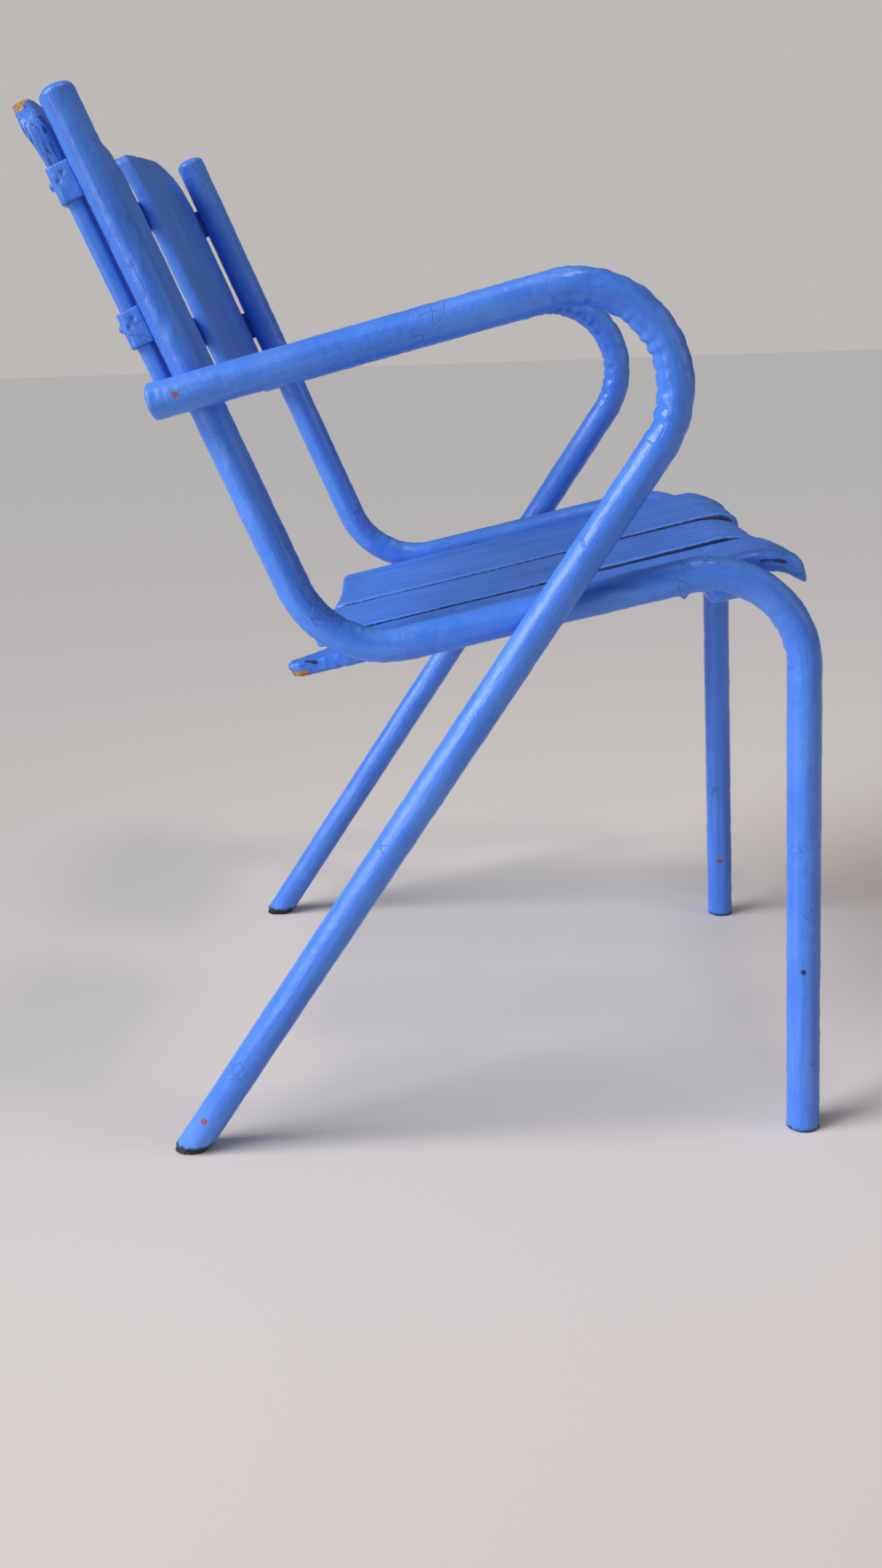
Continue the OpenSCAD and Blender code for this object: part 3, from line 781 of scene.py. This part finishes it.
STRAP_END_X = 228.4         # how far out the pits in the back straps' ends lie, in millimetres
BAR_SIZE = (0.45, 0.030, 0.015)     # the front bar's length, depth and height
for node, middle in (("lower_back_strap", 262), ("upper_back_strap", 363)):
    strap = thick_copy("painted_" + node, [node])
    skin(strap, 1.0 * MM)
    roughen(strap, 0.4 * MM, 7 * MM)
    # two small pits in each end
    co = points(strap)
    for x in (-STRAP_END_X, STRAP_END_X):
        for y, z in ((19, 6), (23.5, 2)):
            push(strap, -1.3 * MM, near(co, at(LEAN, x, y, middle + z), 2.4 * MM))
    finish_strap(strap, node)

for name, nodes, voxel in (("painted_back_fasteners", ["back_bolts", "back_nuts"], 0.7 * MM),
                           ("painted_seat_fasteners", ["seat_bolts", "seat_nuts"], 0.8 * MM)):
    piece = thick_copy(name, nodes)
    skin(piece, voxel, 1)
    attribute(piece, "laid", points(piece), "FLOAT_VECTOR")
    attribute(piece, "grime_and_shade", np.full(len(piece.data.vertices), 0.15))
    finish_piece(piece, steel_paint, "painted_fasteners", *nodes)

# The front bar's ends are painted shut, so it is drawn solid
deselect()
bpy.ops.mesh.primitive_cube_add(size=1, location=at(SLOPE, 0, -288, -17.5), rotation=(-SLOPE, 0, 0),
                                scale=BAR_SIZE)
front_bar = new_piece("painted_front_seat_bar")
apply(front_bar, "BEVEL", width=7 * MM, segments=6)
rear_strap = thick_copy("painted_rear_seat_strap", ["rear_seat_strap"])
for piece, node in ((front_bar, "front_seat_bar"), (rear_strap, "rear_seat_strap")):
    skin(piece, 1.4 * MM, 1)
    roughen(piece, 0.3 * MM, 8 * MM)
    finish_strap(piece, node)

for side in ("right", "left"):
    node = side + "_foot_plug"
    piece = thick_copy("worn_" + node, [node])
    skin(piece, 0.9 * MM, 2)
    roughen(piece, 1.0 * MM, 5 * MM)
    # worn flat on the ground
    only(piece)
    bpy.ops.object.mode_set(mode="EDIT")
    bpy.ops.mesh.select_all(action="SELECT")
    bpy.ops.mesh.bisect(plane_co=(0, 0, 0), plane_no=(0, 0, 1), clear_inner=True, use_fill=True)
    bpy.ops.mesh.select_all(action="SELECT")
    bpy.ops.mesh.remove_doubles(threshold=1e-5)
    bpy.ops.mesh.dissolve_degenerate(threshold=1e-5)
    bpy.ops.mesh.quads_convert_to_tris()
    bpy.ops.object.mode_set(mode="OBJECT")
    finish_piece(piece, rubber, "foot_rubber", node)

for side in ("right", "left"):
    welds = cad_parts[side + "_welds"].data
    welds.materials.clear()
    welds.materials.append(steel_paint)


# ---------------------------------------------------------------- stage, light and camera

floor_material = new_material("pale_studio_floor")
floor_shader = add(floor_material, "ShaderNodeBsdfPrincipled", {"Base Color": FLOOR_PALE, "Roughness": 0.9})
add(floor_material, "ShaderNodeOutputMaterial", {"Surface": floor_shader.outputs[0]})
deselect()
bpy.ops.mesh.primitive_plane_add(size=60, location=(0, 0, -0.5 * MM))
floor = new_piece("studio_floor")
floor.data.materials.append(floor_material)

# A dim bluish room light, and a pale wall for the camera to see
world = bpy.data.worlds.new("soft_studio")
bpy.context.scene.world = world
world.use_nodes = True
world.node_tree.nodes.clear()
seen = add(world, "ShaderNodeLightPath").outputs["Is Camera Ray"]
room = add(world, "ShaderNodeBackground", {"Color": linear("#cdd3e0"), "Strength": 0.22}).outputs[0]
wall = add(world, "ShaderNodeBackground", {"Color": linear("#bdb9b6"), "Strength": 1.0}).outputs[0]
both = add(world, "ShaderNodeMixShader", {0: seen, 1: room, 2: wall}).outputs[0]
add(world, "ShaderNodeOutputWorld", {"Surface": both})


def lamp(name, kind, place, aim, power, colour, **shape):
    data = bpy.data.lights.new(name, kind)
    data.energy = power
    data.color = linear(colour)[:3]
    for key, value in shape.items():
        setattr(data, key, value)
    lamp_object = bpy.data.objects.new(name, data)
    bpy.context.collection.objects.link(lamp_object)
    lamp_object.location = place
    lamp_object.rotation_euler = (Vector(aim) - lamp_object.location).to_track_quat("-Z", "Y").to_euler()


MIDDLE = (0, 0, 0.4)
WINDOW_WHITE = "#f6f8ff"
lamp("window_light", "SUN", (-0.9, 2.2, 1.9), MIDDLE, 2.9, WINDOW_WHITE, angle=math.radians(34))
lamp("low_window_light", "SPOT", (-1.3, 1.2, 0.5), (-0.2, -0.1, 0.12), 34, WINDOW_WHITE,
     spot_size=math.radians(62), spot_blend=1.0, shadow_soft_size=0.35)
lamp("ceiling_light", "AREA", (-0.35, -0.1, 2.1), MIDDLE, 6, "#ffe9dc", size=0.25, shape="DISK")
lamp("room_fill", "AREA", (-0.9, -2.6, 1.5), MIDDLE, 9, "#ffe2cc", size=1.6, shape="DISK")

# The camera stands at the sitter's right, looks across the chair and a little down, and is held
# slightly askew; its angles are in radians
CAMERA_PLACE = Vector((-1.280, -0.0404, 0.6043))
heading, pitch, roll = 0.0440, -0.2931, 0.0343
forward = Vector((math.cos(pitch) * math.cos(heading), math.cos(pitch) * math.sin(heading), math.sin(pitch)))
level = forward.cross(Vector((0, 0, 1))).normalized()
below = forward.cross(level)
right = math.cos(roll) * level + math.sin(roll) * below
down = math.cos(roll) * below - math.sin(roll) * level
camera_data = bpy.data.cameras.new("camera")
camera_data.lens = 34.32
camera_data.sensor_width = 36
camera = bpy.data.objects.new("camera", camera_data)
bpy.context.collection.objects.link(camera)
facing = Matrix((right, -down, -forward)).transposed().to_4x4()
camera.matrix_world = Matrix.Translation(CAMERA_PLACE) @ facing
bpy.context.scene.camera = camera
bpy.context.scene.view_settings.view_transform = "Standard"

bpy.context.view_layer.update()
